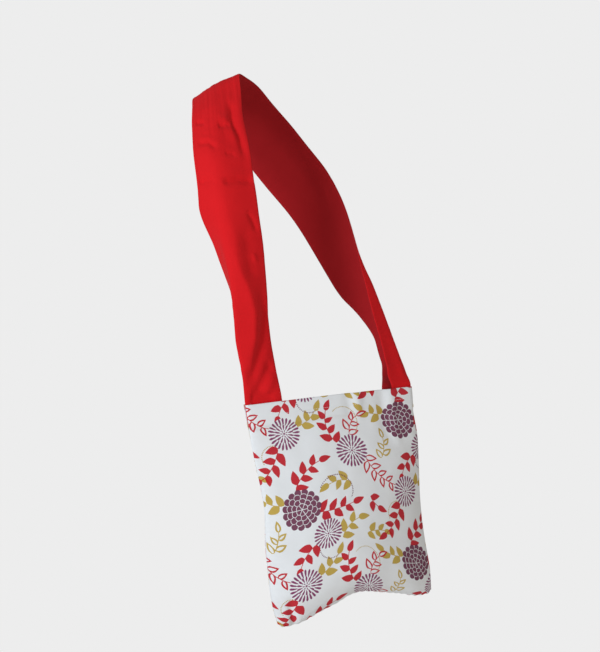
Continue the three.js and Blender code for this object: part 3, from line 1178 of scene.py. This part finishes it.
def printed_cotton(name, strength, motifs):
    """White cotton with a floral print: plum flowers, red branches, mustard sprigs, dotted tendrils."""
    material, tree = new_material(name)
    branch, daisy, rosette, tendril = motifs
    place = cut_place(tree)
    spot = ragged_place(place)
    fibre = grained(place, WHITE_FIBRE)
    bare = blend(fibre, *WHITE_COTTON)
    worn = maths("MULTIPLY_ADD", fibre, INK_SPREAD, INK_START * strength)
    worn = maths("MINIMUM", worn, strength)
    layers = (
        (MUSTARD_INK, branch, MUSTARD_SPRIGS),
        (MUSTARD_INK, tendril, MUSTARD_TENDRILS),
        (PLUM_INK, tendril, PLUM_TENDRILS),
        (RED_INK, branch, RED_BRANCHES),
        (MAUVE_INK, daisy, DAISIES),
        (PLUM_INK, rosette, ROSETTES),
    )
    colour = bare
    for ink_colour, group, rows in layers:
        ink, ground = motif_ink(spot, group, rows)
        colour = blend(ground, colour, bare)
        colour = blend(ink * worn, colour, ink_colour)
    tone = maths("MULTIPLY_ADD", grained(place, WHITE_TONE), TONE_SPREAD, TONE_START)
    colour = vector_maths("SCALE", colour, tone)
    woven_surface(PRINTED_CLOTH, place, colour, weave_height(place, PRINTED_CLOTH), fibre)
    return material


def with_painted_shade(colour, depth):
    """The red cotton's colour with its red part scaled by depth, which below 1 is painted shade."""
    return (colour[0] * depth, *colour[1:])


def red_cotton(name, depth):
    """Dyed red cotton, a little faded along its edges, its red scaled by depth: below 1 this is painted
    shade.
    """
    material, tree = new_material(name)
    place = cut_place(tree)
    weave = weave_height(place, RED_CLOTH)
    fibre = grained(place, RED_FIBRE)
    from_edge = maths("PINGPONG", flat_axes(place)[0], STRAP_CUT[0] / 2)
    at_edge = maths("MULTIPLY_ADD", from_edge, -1 / FADED_WIDTH, 1.0, clamp=True)
    dark, light = RED_DYE
    colour = blend(grained(place, RED_TONE), with_painted_shade(dark, depth), with_painted_shade(light, depth))
    colour = blend(weave * RAISED_SHARE, colour, with_painted_shade(RED_RAISED, depth))
    colour = blend(at_edge * fibre * FADED_SHARE, colour, with_painted_shade(RED_FADED, depth))
    woven_surface(RED_CLOTH, place, colour, weave, fibre)
    return material


def sewing_thread(name, dark, light):
    """Sewing thread with a fine twist of darker and lighter fibres."""
    material, tree = new_material(name)
    fibre = grained(add_node(tree, "ShaderNodeTexCoord").outputs["Object"], THREAD_FIBRE)
    rough = maths("MULTIPLY_ADD", fibre, THREAD_ROUGH_SPREAD, THREAD_ROUGH)
    matt_surface(tree, blend(fibre, dark, light), fibre, rough, THREAD_SHEEN)
    return material


def glow(tree, unseen):
    """Full strength where the camera sees it, and less where it only lights the bag."""
    seen = Number(add_node(tree, "ShaderNodeLightPath").outputs["Is Camera Ray"])
    return maths("MULTIPLY_ADD", seen, 1 - unseen, unseen)


def pale_floor():
    """A floor that is painted near the bag and fades into the even background."""
    bm = bmesh.new()
    bmesh.ops.create_circle(bm, cap_ends=True, segments=FLOOR_SEGMENTS, radius=FLOOR_RADIUS)
    bmesh.ops.translate(bm, verts=bm.verts, vec=FLOOR_PLACE)
    floor = finished_piece("floor", bm)
    material, tree = new_material("pale_floor")
    x, y = flat_axes(add_node(tree, "ShaderNodeTexCoord").outputs["Object"])
    far = maths("MULTIPLY_ADD", distance(x, y), FLOOR_FADE_PER_METRE, FLOOR_FADE_START, clamp=True)
    paint = add_node(tree, "ShaderNodeBsdfDiffuse")
    paint.inputs["Color"].default_value = FLOOR_PAINT
    light = add_node(tree, "ShaderNodeEmission")
    light.inputs["Color"].default_value = STUDIO_GREY
    connect(light.inputs["Strength"], glow(tree, FLOOR_LIGHT))
    faded = add_node(tree, "ShaderNodeMixShader")
    connect(faded.inputs[0], far)
    connect(faded.inputs[1], paint.outputs[0])
    connect(faded.inputs[2], light.outputs[0])
    out = add_node(tree, "ShaderNodeOutputMaterial")
    connect(out.inputs[0], faded.outputs[0])
    floor.data.materials.append(material)


def even_background():
    """The studio's even grey, which also lights the bag from all round."""
    world = bpy.data.worlds.new("studio")
    world.use_nodes = True
    tree = world.node_tree
    tree.nodes.clear()
    sky = add_node(tree, "ShaderNodeBackground")
    sky.inputs["Color"].default_value = STUDIO_GREY
    connect(sky.inputs["Strength"], glow(tree, SKY_LIGHT))
    out = add_node(tree, "ShaderNodeOutputWorld")
    connect(out.inputs[0], sky.outputs[0])
    bpy.context.scene.world = world


def soft_lights():
    """Round area lights that face the bag."""
    for light in LIGHTS:
        lamp = bpy.data.lights.new(light.name, "AREA")
        lamp.shape = "DISK"
        lamp.size = light.size
        lamp.energy = light.power
        lamp.color = light.colour
        stand = bpy.data.objects.new(light.name, lamp)
        bpy.context.scene.collection.objects.link(stand)
        stand.location = light.place
        facing = LIGHT_AIM - Vector(light.place)
        stand.rotation_euler = facing.to_track_quat("-Z", "Y").to_euler()


def point_of_view():
    """The camera, at the photograph's viewing angle."""
    scene = bpy.context.scene
    camera = bpy.data.cameras.new("camera")
    camera.sensor_width = CAMERA_SENSOR
    camera.lens = CAMERA_LENS
    eye = bpy.data.objects.new("camera", camera)
    scene.collection.objects.link(eye)
    eye.location = CAMERA_PLACE
    eye.rotation_euler = (math.radians(CAMERA_TILT), 0.0, math.radians(CAMERA_TURN))
    scene.camera = eye


bpy.context.scene.view_settings.view_transform = "Standard"
pale_floor()
even_background()
soft_lights()
point_of_view()

front, front_grid = pouch_panel("pouch_front", "front_panel", FRONT)
back, back_grid = pouch_panel("pouch_back", "back_panel", BACK)
strap, strap_middle = shoulder_strap()
front_hem = hem_stitches("front_hem_stitches", front_grid, FRONT)
back_hem = hem_stitches("back_hem_stitches", back_grid, BACK)
strap_edges = strap_stitches("strap_edge_stitches", strap_middle)

motifs = (branch_group(), daisy_group(), rosette_group(), tendril_group())
print_outside = printed_cotton("printed_cotton", OUTSIDE_PRINT, motifs)
print_inside = printed_cotton("printed_cotton_inside", INSIDE_PRINT, motifs)
for piece in (front, back):
    piece.data.materials.append(print_outside)
    piece.data.materials.append(print_inside)
strap.data.materials.append(red_cotton("red_cotton", OUTSIDE_PAINTED_SHADE))
# The inner face's copy has its red scaled down as painted shade, so it is darker than the outer face
# under the same light
strap.data.materials.append(red_cotton("red_cotton_inside_painted_shade", INSIDE_PAINTED_SHADE))
white_thread = sewing_thread("white_thread", *WHITE_THREAD)
for piece in (front_hem, back_hem):
    piece.data.materials.append(white_thread)
strap_edges.data.materials.append(sewing_thread("red_thread", *RED_THREAD))
